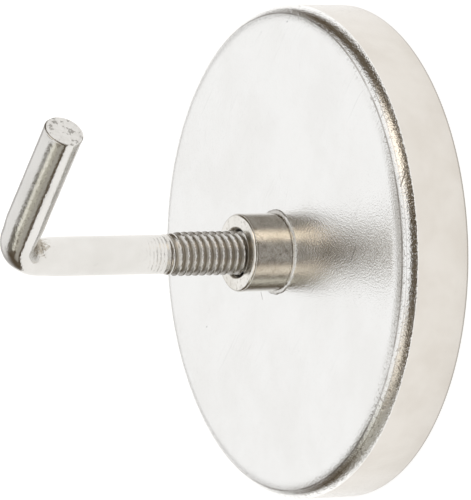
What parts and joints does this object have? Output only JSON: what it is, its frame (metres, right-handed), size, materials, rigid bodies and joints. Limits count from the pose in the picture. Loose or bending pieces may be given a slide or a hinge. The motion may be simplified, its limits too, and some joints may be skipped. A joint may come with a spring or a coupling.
{
  "type": "magnet fishing magnet",
  "caption": "Round nickel-plated cup magnet with a flat working face, a central threaded boss and a right-angled screw hook for a rope or ring.",
  "frame": {"origin": "centre of the flat working face, at the bottom of the part's box", "axes": "+Z along the cup's axis, from the working face towards the hook; +X is the way the hook's arm points at rest"},
  "size_m": [0.0888, 0.0888, 0.0692],
  "materials": {
    "cup_plate": "polished",
    "boss_plate": "polished",
    "hook_plate": "satin",
    "ferrite": "matte",
    "adhesive": "satin",
    "potting": "satin"
  },
  "bodies": {
    "magnet": {"steel_cup": "cup_plate", "threaded_boss": "boss_plate", "boss_weld_bead": "cup_plate", "ferrite_ring": "ferrite", "adhesive_bond": "adhesive", "outer_potting": "potting", "inner_potting": "potting"},
    "hook": {"screw_hook": "hook_plate"}
  },
  "joints": [
    {"name": "hook_turn", "type": "hinge", "parent": "magnet", "child": "hook", "pos_m": [0, 0, 0.0212], "axis": [0, 0, 1], "range_deg": [-180, 180]}
  ]
}
